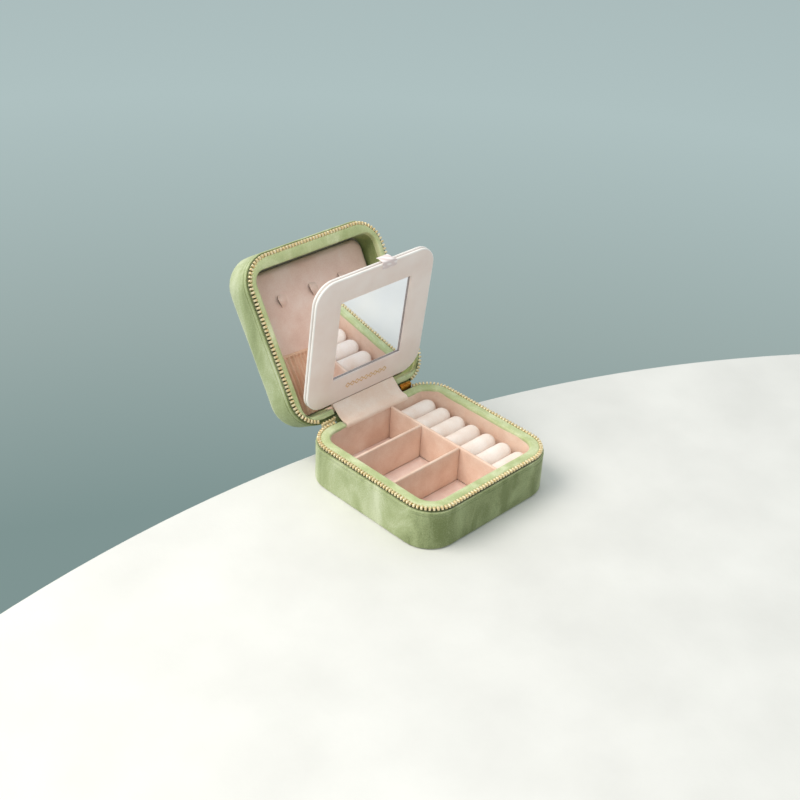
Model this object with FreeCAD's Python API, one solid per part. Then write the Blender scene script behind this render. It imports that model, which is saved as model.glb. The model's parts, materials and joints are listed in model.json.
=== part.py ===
"""Travel jewelry case: a square zip case with a mirror page, necklace hooks, a pocket and ring rolls.

Millimetres, +Z up. The origin is the centre of the base's bottom face, +Y points to the hinge side
and +X runs along the hinge. Every piece of the lid and of the mirror page is drawn with the case
closed and is then turned open about the hinge line.
"""
import FreeCAD, Part
import math
import os

V = FreeCAD.Vector

# Driving dimensions
CASE = 95.25            # outside length of each side
CORNER = 17.0           # outside radius of the upright corners
BASE_H = 25.5           # height of the parting plane between base and lid
LID_H = 24.4            # lid height above the parting plane
HINGE_Y = 47.6          # hinge line, in the parting plane
LID_OPEN = 121.0        # lid angle as stored
MIRROR_OPEN = 83.3      # mirror page angle as stored
COVER_T = 1.2           # velvet cover
SHELL_T = 1.5           # moulded board under the cover
LINING_T = 0.8          # lining cloth
BAND_T = 1.0            # velvet band along each rim
PARTING_GAP = 0.05      # half of the gap left at the parting plane
COVER_GAP = 2.6         # from the parting plane to the edge of each cover, where the zip sits
BOTTOM_EDGE = 1.5       # rounding of the base's bottom edge
TOP_EDGE = 8.0          # soft rounding of the lid's top edge
CAVITY_HALF = 39.75     # half width of the base's inside
FLOOR_Z = 3.6           # top of the floor pad

LID_IN_X = 42.1         # half width of the lid's inside
LID_IN_HINGE = 5.5      # from the hinge line to the near inner edge of the lid
LID_IN_FAR = 87.0       # from the hinge line to the far inner edge of the lid
LID_IN_CORNER = 7.0
LID_RECESS = 13.0       # depth of the padded back panel below the rim plane
BACK_PAD_T = 2.3
BACK_BOARD_T = 1.2

STRIP_X = (-22.7, 22.1)   # width of the hinge lining strip
SPINE_X = (-24.0, 22.6)   # width of the outer hinge spine
LID_ZIP_X = (-35.0, 34.0)   # where the lid half of the zip starts, left and right of the hinge
BASE_ZIP_X = (-25.0, 31.8)  # and where the base half starts

TOOTH = (1.0, 1.8, 1.55)  # along the chain, across it, and its height
TOOTH_PITCH = 2.05
CHAIN_INSET = 1.725       # from the case's outside to the middle of the chain

PAGE_HALF = 41.4        # mirror page: half width
PAGE_T = (5.8, 84.9)    # from the hinge line to its two edges
PAGE_N = (5.2, 6.6, 7.4, 8.6)   # front face, back of front cover, back of core, back face
PAGE_CORNER = 12.0
WINDOW = 48.5           # side of the square mirror opening
WINDOW_X = 0.7          # its centre along the hinge
WINDOW_T = 21.8         # its lower edge
GLASS_LAP = 1.75        # how far the glass runs behind the opening's edge

DIVIDER_T = 1.8
DIVIDER_TOP = 23.6
LONG_DIVIDER_X = 9.7
SHORT_DIVIDER_Y = {"divider_back": 16.0, "divider_front": -12.5}
DIVIDER_PLAY = 0.05

ROLL_COUNT = 7
ROLL_R = 5.4
ROLL_Z = 15.4
ROLL_END = 5.2          # rounding of the roll's free end
ROLL_RIGHT = 37.3       # where the free ends stop
HOOK_X = (-22.0, 0.0, 21.0)
HOOK_SIZE = (7.0, 9.5)  # width and height
HOOK_CORNER = 2.6
HOOK_T = 67.0
POCKET_TOP = 40.0
POCKET_FRONT = 10.9     # depth of the pocket's front face
POCKET_SHEET = 1.1

SLIDER_X = (23.3, 31.1)
PIN = (26.9, 48.35, 24.0)   # zip pull pin: middle of its length, and its line
PIN_R = 0.30
EYE_R = 0.62
PULL = (5.0, 0.65, 16.0)    # width, thickness and length of the pull's blade

HALF = CASE / 2
HINGE = V(0, HINGE_Y, BASE_H)
SHELL_IN = HALF - COVER_T - SHELL_T     # inner face of both shells


def slab(x, y, z, radius=0.0):
    """A plate over the ranges x, y and z, with its upright edges rounded."""
    solid = Part.makeBox(x[1] - x[0], y[1] - y[0], z[1] - z[0], V(x[0], y[0], z[0]))
    if radius:
        upright = [e for e in solid.Edges if abs(e.Vertexes[0].Z - e.Vertexes[-1].Z) > 1e-6]
        solid = solid.makeFillet(radius, upright)
    return solid


def centred(half, z, corner):
    """A rounded square plate about the case's middle."""
    return slab((-half, half), (-half, half), z, corner)


def round_rim(solid, z, radius):
    """Round the edges that lie in the plane at height z."""
    rim = [e for e in solid.Edges if all(abs(v.Z - z) < 1e-6 for v in e.Vertexes)]
    return solid.makeFillet(radius, rim)


def case_ring(outer, inner, z):
    """A ring that follows the case's outline between two half widths."""
    return (centred(outer, z, outer - HALF + CORNER)
            .cut(centred(inner, (z[0] - 1, z[1] + 1), inner - HALF + CORNER)))


def back_gap(x):
    """The block that cuts a ring open at the hinge side."""
    return slab(x, (30, 60), (-10, 80))


def lid_z(n):
    """Heights of a range of depths measured up from the parting plane, lid closed."""
    return (BASE_H + n[0], BASE_H + n[1])


def from_hinge(t):
    """The y range of a range of distances measured from the hinge line."""
    return (HINGE_Y - t[1], HINGE_Y - t[0])


def profile(points, x):
    """A prism along X whose section is given as (distance from hinge line, depth) points."""
    ring = [V(x[0], HINGE_Y - t, BASE_H + n) for t, n in points]
    return Part.Face(Part.makePolygon(ring + ring[:1])).extrude(V(x[1] - x[0], 0, 0))


def chain_stations():
    """Places and headings of the zip's teeth, all the way round the case."""
    half = HALF - CHAIN_INSET
    corner = CORNER - CHAIN_INSET
    straight = 2 * (half - corner)
    arc = corner * math.pi / 2
    count = round(4 * (straight + arc) / TOOTH_PITCH)
    for i in range(count):
        side, along = divmod(i * 4 * (straight + arc) / count, straight + arc)
        if along < straight:
            x, y, heading = along - straight / 2, -half, 0.0
        else:
            heading = (along - straight) / corner
            x = straight / 2 + corner * math.sin(heading)
            y = -half + corner * (1 - math.cos(heading))
        turn = side * math.pi / 2
        yield (x * math.cos(turn) - y * math.sin(turn),
               x * math.sin(turn) + y * math.cos(turn),
               math.degrees(heading + turn))


def zip_teeth(z, gap):
    """One row of separate teeth that stand on the tape, left out between the two x of the gap."""
    teeth = []
    for x, y, heading in chain_stations():
        if y > 30 and gap[0] < x < gap[1]:
            continue
        tooth = Part.makeBox(*TOOTH, V(-TOOTH[0] / 2, -TOOTH[1] / 2, 0))
        tooth.rotate(V(0, 0, 0), V(0, 0, 1), heading)
        tooth.translate(V(x, y, z))
        teeth.append(tooth)
    return Part.makeCompound(teeth)


def base_pieces():
    """Everything that stays with the base."""
    top = BASE_H - COVER_GAP
    rim = BASE_H - 0.5
    cover = round_rim(centred(HALF, (0, top), CORNER), 0, BOTTOM_EDGE)
    inside = centred(HALF - COVER_T, (COVER_T, top + 1), CORNER - COVER_T)
    shell = centred(HALF - COVER_T, (COVER_T, top), CORNER - COVER_T)
    core = centred(SHELL_IN, (COVER_T + SHELL_T, top + 1), CORNER - COVER_T - SHELL_T)
    floor = COVER_T + SHELL_T
    lining = CAVITY_HALF + LINING_T
    band = case_ring(SHELL_IN, CAVITY_HALF, (rim - BAND_T, rim))
    tape = case_ring(HALF - 1.3, HALF - 2.5, (top, BASE_H - PARTING_GAP - TOOTH[2]))
    return {
        "base_cover": cover.cut(inside),
        "base_shell": shell.cut(core),
        "base_wall_foam": case_ring(SHELL_IN, lining, (floor, rim - BAND_T)),
        "base_lining": case_ring(lining, CAVITY_HALF, (floor, rim - BAND_T)),
        "base_floor_pad": centred(CAVITY_HALF, (floor, FLOOR_Z), CAVITY_HALF - HALF + CORNER),
        "base_rim_band": band.cut(back_gap(STRIP_X)),
        "base_hinge_lining": slab(STRIP_X, (CAVITY_HALF, HINGE_Y - 0.4), (rim - 0.8, rim)),
        "base_spine": slab(SPINE_X, (HALF - COVER_T, HINGE_Y - 0.2), (top, rim - 0.8)),
        "base_zip_tape": tape.cut(back_gap(SPINE_X)),
        "base_zip_teeth": zip_teeth(BASE_H - PARTING_GAP - TOOTH[2], BASE_ZIP_X),
        "zip_closed_end": joined_chain(),
        "zip_slider": slider(),
    }


def joined_chain():
    """The short length of zip that stays joined beside the hinge, with its end stop."""
    start, stop = LID_ZIP_X[0] + 1.2, SPINE_X[0] - 1.2
    count = int((stop - start) / (TOOTH_PITCH / 2))
    teeth = []
    for i in range(count):
        x = start + i * TOOTH_PITCH / 2
        low = BASE_H - 1.1 + (0.5 if i % 2 else 0.0)
        teeth.append(slab((x, x + 0.9), (HINGE_Y - 0.4, HINGE_Y + 0.9), (low, low + 1.7)))
    teeth.append(slab((stop - 0.2, stop + 0.8), (HINGE_Y - 0.5, HINGE_Y + 1.0),
                      (BASE_H - 1.5, BASE_H + 1.5)))
    return Part.makeCompound(teeth)


def slider():
    """The parked slider: its plates, its neck, and two ears that carry the pull's pin."""
    x, y, z = PIN
    inner = slab(SLIDER_X, (HINGE_Y - 1.6, HINGE_Y - 0.6), (BASE_H - 1.5, BASE_H + 1.7))
    middle = slab(SLIDER_X, (HINGE_Y - 0.65, HINGE_Y + 0.05), (BASE_H - 2.2, BASE_H + 2.2))
    nose = slab((SLIDER_X[0] + 1, SLIDER_X[1] - 1), (HINGE_Y - 0.65, HINGE_Y + 0.9),
                (BASE_H + 0.1, BASE_H + 1.9))
    body = inner.fuse(middle).fuse(nose)
    for side in (-1.75, 1.15):
        body = body.fuse(slab((x + side, x + side + 0.6), (HINGE_Y, y + 0.45), (z - 0.5, z + 0.8)))
    pin = Part.makeCylinder(PIN_R, 3.2, V(x - 1.6, y, z), V(1, 0, 0))
    return body.fuse(pin).removeSplitter()


def pull():
    """The zip pull: an eye round the pin and a flat blade that hangs down behind the base."""
    x, y, z = PIN
    width, thick, length = PULL
    eye = Part.makeCylinder(EYE_R, 2.2, V(x - 1.1, y, z), V(1, 0, 0))
    neck = slab((x - 1.1, x + 1.1), (y - EYE_R + 0.02, y - EYE_R + 0.02 + thick), (z - 2.6, z))
    blade = slab((x - width / 2, x + width / 2), (neck.BoundBox.YMin, neck.BoundBox.YMax),
                 (z - 2.0 - length, z - 2.0))
    hole = Part.makeCylinder(PIN_R + 0.06, 6, V(x - 3, y, z), V(1, 0, 0))
    return eye.fuse(neck).fuse(blade).cut(hole).removeSplitter()


def dividers():
    """The fixed long divider and the two short ones that lift out."""
    half = DIVIDER_T / 2
    pieces = {"long_divider": slab((LONG_DIVIDER_X - half, LONG_DIVIDER_X + half),
                                   (-CAVITY_HALF, CAVITY_HALF), (FLOOR_Z, DIVIDER_TOP))}
    span = (-CAVITY_HALF + DIVIDER_PLAY, LONG_DIVIDER_X - half - DIVIDER_PLAY)
    for name, y in SHORT_DIVIDER_Y.items():
        pieces[name] = slab(span, (y - half, y + half), (FLOOR_Z, DIVIDER_TOP))
    return pieces


def ring_rolls():
    """The foam bed and the row of padded rolls that grip rings between them."""
    left = LONG_DIVIDER_X + DIVIDER_T / 2
    inner_corner = CAVITY_HALF - HALF + CORNER
    bed = slab((left, CAVITY_HALF), (-CAVITY_HALF, CAVITY_HALF), (FLOOR_Z, ROLL_Z - ROLL_R))
    bed = bed.common(centred(CAVITY_HALF, (0, 30), inner_corner))
    pieces = {"ring_bed": bed}
    pitch = 2 * CAVITY_HALF / ROLL_COUNT
    for i in range(ROLL_COUNT):
        y = -CAVITY_HALF + pitch * (i + 0.5)
        roll = Part.makeCylinder(ROLL_R, ROLL_RIGHT - left, V(left, y, ROLL_Z), V(1, 0, 0))
        end = [e for e in roll.Edges if e.BoundBox.XMin > ROLL_RIGHT - 1e-4]
        pieces[f"ring_roll_{i + 1}"] = roll.makeFillet(ROLL_END, end)
    return pieces


def lid_opening(grow, n):
    """The block of the lid's inside, grown sideways by a cloth's thickness."""
    return slab((-LID_IN_X - grow, LID_IN_X + grow),
                from_hinge((LID_IN_HINGE - grow, LID_IN_FAR + grow)), lid_z(n), LID_IN_CORNER + grow)


def lid_pieces():
    """Everything that turns with the lid, drawn closed."""
    top = BASE_H + LID_H
    low = BASE_H + COVER_GAP
    in_corner = CORNER - COVER_T
    cover = round_rim(centred(HALF, (low, top), CORNER), top, TOP_EDGE)
    hollow = round_rim(centred(HALF - COVER_T, (low - 1, top - COVER_T), in_corner),
                       top - COVER_T, TOP_EDGE - COVER_T)
    shell = round_rim(centred(HALF - COVER_T, (low, top - COVER_T), in_corner),
                      top - COVER_T, TOP_EDGE - COVER_T)
    board_top = top - COVER_T - SHELL_T
    core_edge = TOP_EDGE - COVER_T - SHELL_T
    core = round_rim(centred(SHELL_IN, (low - 1, board_top), in_corner - SHELL_T),
                     board_top, core_edge)
    wall = (BAND_T, LID_RECESS + BACK_PAD_T)
    board = (wall[1], wall[1] + BACK_BOARD_T)
    padding = core.common(centred(HALF, lid_z((board[1], LID_H)), CORNER))
    foam = centred(SHELL_IN, lid_z(wall), in_corner - SHELL_T).cut(lid_opening(LINING_T, (0, 20)))
    lining = lid_opening(LINING_T, wall).cut(lid_opening(0, (0, 20)))
    band = (centred(SHELL_IN, lid_z((PARTING_GAP, BAND_T)), in_corner - SHELL_T)
            .cut(lid_opening(0, (-1, 20))))
    flap_slot = slab((STRIP_X[0] - 0.6, STRIP_X[1] + 0.6), from_hinge((2, 8)), lid_z((-1, 6.5)))
    tooth_low = BASE_H + PARTING_GAP
    tape = case_ring(HALF - 1.3, HALF - 2.5, (tooth_low + TOOTH[2], low))
    pieces = {
        "lid_cover": cover.cut(hollow),
        "lid_shell": shell.cut(core),
        "lid_padding": padding,
        "lid_back_board": centred(SHELL_IN, lid_z(board), in_corner - SHELL_T),
        "lid_wall_foam": foam.cut(flap_slot),
        "lid_lining": lining.cut(flap_slot),
        "lid_back_pad": lid_opening(0, (LID_RECESS, wall[1])),
        "lid_rim_band": band.cut(flap_slot),
        "lid_hinge_lining": slab(STRIP_X, from_hinge((COVER_T + 0.1, COVER_T + SHELL_T - 0.1)),
                                 lid_z((0.7, COVER_GAP))),
        "lid_spine": slab(SPINE_X, from_hinge((0.2, COVER_T - 0.1)), lid_z((0.4, COVER_GAP))),
        "lid_zip_tape": tape.cut(back_gap(LID_ZIP_X)),
        "lid_zip_teeth": zip_teeth(tooth_low, LID_ZIP_X),
    }
    pieces.update(lid_fittings())
    return pieces


def hook(x):
    """A padded scoop rooted in the back panel along its right side, with a gap behind its left side."""
    width, height = HOOK_SIZE
    left, right = x - width / 2, x + width / 2
    outside = [(right, 0.0), (right, 0.8), (right - 1.4, 2.0), (right - 3.4, 2.8),
               (right - 5.6, 3.0), (left, 2.5)]
    behind = [(left + 0.2, 1.5), (right - 5.4, 1.9), (right - 3.6, 1.7),
              (right - 2.2, 1.0), (right - 1.8, 0.0)]
    low = HINGE_Y - HOOK_T - height / 2
    ring = [V(place, low, BASE_H + LID_RECESS - rise) for place, rise in outside + behind]
    scoop = Part.Face(Part.makePolygon(ring + ring[:1])).extrude(V(0, height, 0))
    return scoop.common(slab((left, right), (low, low + height), lid_z((0, LID_RECESS)), HOOK_CORNER))


def lid_fittings():
    """Necklace hooks and the gathered pocket, in front of the padded back panel."""
    pieces = {f"necklace_hook_{i + 1}": hook(x) for i, x in enumerate(HOOK_X)}
    half = LID_IN_X - 0.4
    low = LID_IN_HINGE + 0.4
    sheet = slab((-half, half), from_hinge((low, POCKET_TOP)), lid_z((POCKET_FRONT, LID_RECESS)), 9.0)
    square_top = slab((-half, half), from_hinge((POCKET_TOP - 10, POCKET_TOP)),
                      lid_z((POCKET_FRONT, LID_RECESS)))
    room = slab((-half + 1.5, half - 1.5), from_hinge((low + 1.5, POCKET_TOP + 1)),
                lid_z((POCKET_FRONT + POCKET_SHEET, LID_RECESS + 1)), 8.0)
    mouth = slab((-half + 1.5, half - 1.5), from_hinge((POCKET_TOP - 10, POCKET_TOP + 1)),
                 lid_z((POCKET_FRONT + POCKET_SHEET, LID_RECESS + 1)))
    pieces["pocket"] = sheet.fuse(square_top).cut(room.fuse(mouth)).removeSplitter()
    pieces["pocket_elastic"] = slab((-half, half), from_hinge((POCKET_TOP, POCKET_TOP + 2.2)),
                                    lid_z((POCKET_FRONT - 0.4, POCKET_FRONT + POCKET_SHEET)))
    return pieces


def page_plate(inset, n):
    """One layer of the mirror page."""
    return slab((-PAGE_HALF + inset, PAGE_HALF - inset),
                from_hinge((PAGE_T[0] + inset, PAGE_T[1] - inset)), lid_z(n), PAGE_CORNER - inset)


def window_block(grow, n):
    """The mirror opening, grown on every side."""
    half = WINDOW / 2 + grow
    return slab((WINDOW_X - half, WINDOW_X + half),
                from_hinge((WINDOW_T - grow, WINDOW_T + WINDOW + grow)), lid_z(n))


def mirror_pieces():
    """The mirror page, drawn closed: two covers, core board, glass, ornament, tab and flap."""
    front, behind_front, behind_core, back = PAGE_N
    lozenges = []
    for i in range(7):
        gem = Part.makeBox(1.5, 1.5, 0.1, V(-0.75, -0.75, 0))
        gem.rotate(V(0, 0, 0), V(0, 0, 1), 45)
        gem.translate(V(WINDOW_X + 3.4 * (i - 3), HINGE_Y - 14.6, BASE_H + front - 0.1))
        lozenges.append(gem)
    tab = profile([(81.5, front), (81.5, front - 0.6), (PAGE_T[1] + 1.2, front - 0.6),
                   (PAGE_T[1] + 1.2, back + 2.4), (PAGE_T[1] + 0.5, back + 2.4),
                   (PAGE_T[1] + 0.5, front)], (2.0, 10.0))
    flap = profile([(2.9, 0.8), (3.7, 0.8), (PAGE_T[0], front), (PAGE_T[0], front + 1.0)], STRIP_X)
    return {
        "mirror_front_cover": page_plate(0, (front, behind_front)).cut(window_block(0, (0, 20))),
        "mirror_core": page_plate(0.4, (behind_front, behind_core)).cut(window_block(GLASS_LAP, (0, 20))),
        "mirror_glass": window_block(GLASS_LAP, (behind_front, behind_core)),
        "mirror_back_cover": page_plate(0, (behind_core, back)),
        "mirror_ornament": Part.makeCompound(lozenges),
        "mirror_tab": tab,
        "mirror_flap": flap,
    }


def turned(pieces, angle):
    """The pieces opened about the hinge line."""
    for shape in pieces.values():
        shape.rotate(HINGE, V(-1, 0, 0), angle)
    return pieces


def main():
    """Write one STEP file for each piece."""
    os.makedirs("parts", exist_ok=True)
    pieces = {}
    pieces.update(base_pieces())
    pieces.update(dividers())
    pieces.update(ring_rolls())
    pieces["zip_pull"] = pull()
    pieces.update(turned(mirror_pieces(), MIRROR_OPEN))
    pieces.update(turned(lid_pieces(), LID_OPEN))
    for name, shape in pieces.items():
        shape.exportStep(os.path.join("parts", name + ".step"))


main()
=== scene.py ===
"""Looks of the travel jewelry case: velvet covers, zip, padded tray, mirror page and studio."""
import json
import math

import bmesh
import bpy
from mathutils import Matrix, Vector, noise


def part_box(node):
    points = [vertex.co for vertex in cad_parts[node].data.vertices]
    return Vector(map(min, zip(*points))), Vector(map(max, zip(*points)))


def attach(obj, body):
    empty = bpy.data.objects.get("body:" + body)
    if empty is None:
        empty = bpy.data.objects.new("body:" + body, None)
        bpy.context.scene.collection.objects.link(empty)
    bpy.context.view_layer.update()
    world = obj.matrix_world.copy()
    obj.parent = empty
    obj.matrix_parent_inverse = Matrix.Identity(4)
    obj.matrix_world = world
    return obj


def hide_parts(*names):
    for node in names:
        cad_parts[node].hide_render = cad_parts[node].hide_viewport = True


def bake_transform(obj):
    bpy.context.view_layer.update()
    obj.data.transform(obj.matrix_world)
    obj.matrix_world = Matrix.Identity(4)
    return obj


bl_info = {
    "name": "Travel Jewelry Case",
    "version": (1, 0, 0),
    "blender": (4, 5, 0),
    "location": "3D View > Sidebar > Jewelry Case",
    "description": "Builds the soft goods, zip, mirror page and studio of a travel jewelry case",
    "category": "Object",
}

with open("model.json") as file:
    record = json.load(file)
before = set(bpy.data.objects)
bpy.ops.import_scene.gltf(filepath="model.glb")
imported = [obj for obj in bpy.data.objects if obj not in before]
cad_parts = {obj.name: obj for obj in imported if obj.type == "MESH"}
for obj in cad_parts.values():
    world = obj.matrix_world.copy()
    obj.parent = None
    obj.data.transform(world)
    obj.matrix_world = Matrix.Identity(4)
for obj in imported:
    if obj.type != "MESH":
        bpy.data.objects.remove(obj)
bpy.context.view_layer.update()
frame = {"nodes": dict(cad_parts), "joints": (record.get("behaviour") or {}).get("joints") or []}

# Places read from the frame, and the two stored opening angles.
MM = 0.001
HINGE = Vector(frame["joints"][0]["pos_m"])
LID_OPEN = math.radians(121.0)
PAGE_OPEN = math.radians(83.3)
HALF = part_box("base_cover")[1].x
PARTING = HINGE.z
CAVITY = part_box("long_divider")[1].y
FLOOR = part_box("ring_bed")[0].z
ROLL_LOW, ROLL_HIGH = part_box("ring_roll_4")
CORNER = 17.0 * MM
BAND_INSET = 2.55 * MM      # outer skin to the velvet band inside the zip
CHAIN_INSET = 1.725 * MM    # outer skin to the line of teeth
ROW_OFFSET = 1.65 * MM      # parting plane to the middle of a row of teeth
STRIP = (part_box("base_hinge_lining")[0].x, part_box("base_hinge_lining")[1].x)
SPINE = (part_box("base_spine")[0].x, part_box("base_spine")[1].x)


def closed_box(node, angle):
    """Lowest and highest corners that a node of the lid or page has when the case is closed."""
    turn = Matrix.Translation(HINGE) @ Matrix.Rotation(angle, 4, "X") @ Matrix.Translation(-HINGE)
    places = [turn @ vertex.co for vertex in frame["nodes"][node].data.vertices]
    return Vector(map(min, zip(*places))), Vector(map(max, zip(*places)))


PAGE_LOW, PAGE_HIGH = closed_box("mirror_front_cover", PAGE_OPEN)
PAGE_CORNER = 12.0 * MM
GLASS_LOW, GLASS_HIGH = closed_box("mirror_glass", PAGE_OPEN)
GLASS_LAP = 1.75 * MM
BACK_LOW, BACK_HIGH = closed_box("mirror_back_cover", PAGE_OPEN)
LID_LOW, LID_HIGH = closed_box("lid_back_pad", LID_OPEN)
LID_CORNER = 7.0 * MM


# ---------------------------------------------------------------- helpers: colour and nodes

def linear(code):
    """An sRGB hex colour as linear red, green, blue and alpha."""
    values = [int(code[i:i + 2], 16) / 255 for i in (0, 2, 4)]
    return tuple(v / 12.92 if v <= 0.04045 else ((v + 0.055) / 1.055) ** 2.4 for v in values) + (1.0,)


def add(tree, kind, links=None, **settings):
    """Add one shader node; links maps an input to a value or to another node's output."""
    made = tree.nodes.new(kind)
    for key, value in settings.items():
        setattr(made, key, value)
    for key, value in (links or {}).items():
        if isinstance(value, bpy.types.NodeSocket):
            tree.links.new(value, made.inputs[key])
        else:
            made.inputs[key].default_value = value
    return made


def per_mm(size):
    """Noise scale that gives features of this size in millimetres on metre coordinates."""
    return 1.0 / (size * MM)


def new_material(name):
    """An empty material with its shader joined to the output."""
    material = bpy.data.materials.new(name)
    material.use_nodes = True
    tree = material.node_tree
    tree.nodes.clear()
    shader = add(tree, "ShaderNodeBsdfPrincipled")
    output = add(tree, "ShaderNodeOutputMaterial", {"Surface": shader.outputs[0]})
    output.location = (300, 0)
    return material, tree, shader


def ramp(tree, factor, stops):
    """A colour ramp with (place, hex colour) stops."""
    made = add(tree, "ShaderNodeValToRGB", {"Fac": factor})
    elements = made.color_ramp.elements
    while len(elements) > len(stops):
        elements.remove(elements[-1])
    while len(elements) < len(stops):
        elements.new(1.0)
    for element, (place, code) in zip(elements, stops):
        element.position = place
        element.color = linear(code)
    return made.outputs["Color"]


def bump(tree, height, strength, distance):
    """Bump from one height, with its depth in millimetres."""
    return add(tree, "ShaderNodeBump",
               {"Height": height, "Strength": strength, "Distance": distance * MM}).outputs["Normal"]


# ---------------------------------------------------------------- materials

def velvet(name, dark, mid, light, nap=20.0, painted_facing_shade=0.0, sheen="EEF2D4"):
    """Short-pile velvet, woven and brushed: patches of nap that run either way, and a bright edge sheen.

    Painted shade by facing: faces turned towards -Y are painted darker and those turned towards +Y paler,
    in proportion to the facing-shade amount.
    """
    material, tree, shader = new_material(name)
    place = add(tree, "ShaderNodeTexCoord").outputs["Object"]
    turned = add(tree, "ShaderNodeMapping", {"Vector": place, "Scale": (1.0, 1.0, 0.45),
                                             "Rotation": (0.3, 0.5, 0.6)}).outputs[0]
    patches = add(tree, "ShaderNodeTexNoise", {"Vector": turned, "Scale": per_mm(nap), "Detail": 5.0,
                                               "Roughness": 0.55, "Distortion": 0.8}).outputs["Fac"]
    pile = add(tree, "ShaderNodeTexNoise", {"Vector": place, "Scale": per_mm(0.7), "Detail": 2.0,
                                            "Roughness": 0.7}).outputs["Fac"]
    both = add(tree, "ShaderNodeMath", {0: patches, 1: 0.72}, operation="MULTIPLY").outputs[0]
    both = add(tree, "ShaderNodeMath", {0: pile, 1: 0.28, 2: both}, operation="MULTIPLY_ADD").outputs[0]
    # Painted shade: the colour is shifted by the Y of the way the surface faces.
    facing = add(tree, "ShaderNodeTexCoord").outputs["Normal"]
    facing = add(tree, "ShaderNodeSeparateXYZ", {"Vector": facing}).outputs["Y"]
    both = add(tree, "ShaderNodeMath", {0: facing, 1: painted_facing_shade, 2: both}, operation="MULTIPLY_ADD").outputs[0]
    colour = ramp(tree, both, [(0.3, dark), (0.5, mid), (0.66, light)])
    tree.links.new(colour, shader.inputs["Base Color"])
    tree.links.new(bump(tree, pile, 0.5, 0.2), shader.inputs["Normal"])
    shader.inputs["Roughness"].default_value = 0.85
    shader.inputs["Sheen Weight"].default_value = 0.65
    shader.inputs["Sheen Roughness"].default_value = 0.35
    shader.inputs["Sheen Tint"].default_value = linear(sheen)
    shader.inputs["IOR"].default_value = 1.45
    return material


def microsuede(name, dark, mid, light, grain=0.6):
    """Brushed microfibre suede: matt, with a soft cloudy nap and a fine even grain."""
    material, tree, shader = new_material(name)
    place = add(tree, "ShaderNodeTexCoord").outputs["Object"]
    cloud = add(tree, "ShaderNodeTexNoise", {"Vector": place, "Scale": per_mm(14.0), "Detail": 4.0,
                                             "Roughness": 0.55}).outputs["Fac"]
    fibre = add(tree, "ShaderNodeTexNoise", {"Vector": place, "Scale": per_mm(grain), "Detail": 2.0,
                                             "Roughness": 0.65}).outputs["Fac"]
    both = add(tree, "ShaderNodeMath", {0: cloud, 1: 0.7}, operation="MULTIPLY").outputs[0]
    both = add(tree, "ShaderNodeMath", {0: fibre, 1: 0.3, 2: both}, operation="MULTIPLY_ADD").outputs[0]
    colour = ramp(tree, both, [(0.34, dark), (0.5, mid), (0.66, light)])
    tree.links.new(colour, shader.inputs["Base Color"])
    tree.links.new(bump(tree, fibre, 0.35, 0.15), shader.inputs["Normal"])
    shader.inputs["Roughness"].default_value = 0.9
    shader.inputs["Sheen Weight"].default_value = 0.3
    shader.inputs["Sheen Roughness"].default_value = 0.4
    shader.inputs["Sheen Tint"].default_value = linear("FFE9DE")
    shader.inputs["IOR"].default_value = 1.45
    return material


def leatherette(name, base, light):
    """Polyurethane leatherette, embossed with a fine pebble grain and finished satin."""
    material, tree, shader = new_material(name)
    place = add(tree, "ShaderNodeTexCoord").outputs["Object"]
    pebble = add(tree, "ShaderNodeTexVoronoi", {"Vector": place, "Scale": per_mm(0.8)},
                 feature="SMOOTH_F1").outputs["Distance"]
    tone = add(tree, "ShaderNodeTexNoise", {"Vector": place, "Scale": per_mm(18.0),
                                            "Detail": 3.0}).outputs["Fac"]
    tree.links.new(ramp(tree, tone, [(0.35, base), (0.65, light)]), shader.inputs["Base Color"])
    tree.links.new(bump(tree, pebble, 0.25, 0.12), shader.inputs["Normal"])
    shader.inputs["Roughness"].default_value = 0.5
    shader.inputs["IOR"].default_value = 1.5
    shader.inputs["Sheen Weight"].default_value = 0.15
    return material


def gilt(name, base, worn, roughness=0.24):
    """Gilt-plated brass, cast and tumbled: bright, with thin worn places."""
    material, tree, shader = new_material(name)
    place = add(tree, "ShaderNodeTexCoord").outputs["Object"]
    wear = add(tree, "ShaderNodeTexNoise", {"Vector": place, "Scale": per_mm(1.6), "Detail": 3.0,
                                            "Roughness": 0.6}).outputs["Fac"]
    tree.links.new(ramp(tree, wear, [(0.4, worn), (0.6, base)]), shader.inputs["Base Color"])
    tree.links.new(bump(tree, wear, 0.2, 0.05), shader.inputs["Normal"])
    shader.inputs["Metallic"].default_value = 1.0
    shader.inputs["Roughness"].default_value = roughness
    return material


def metallised_coil(name, base, worn):
    """Nylon zip coil, vacuum-metallised pale gold and lacquered: satin, half metal and half plastic."""
    material, tree, shader = new_material(name)
    place = add(tree, "ShaderNodeTexCoord").outputs["Object"]
    wear = add(tree, "ShaderNodeTexNoise", {"Vector": place, "Scale": per_mm(1.2), "Detail": 3.0,
                                            "Roughness": 0.6}).outputs["Fac"]
    tree.links.new(ramp(tree, wear, [(0.38, worn), (0.6, base)]), shader.inputs["Base Color"])
    tree.links.new(bump(tree, wear, 0.2, 0.05), shader.inputs["Normal"])
    shader.inputs["Metallic"].default_value = 0.5
    shader.inputs["Roughness"].default_value = 0.32
    return material


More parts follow.
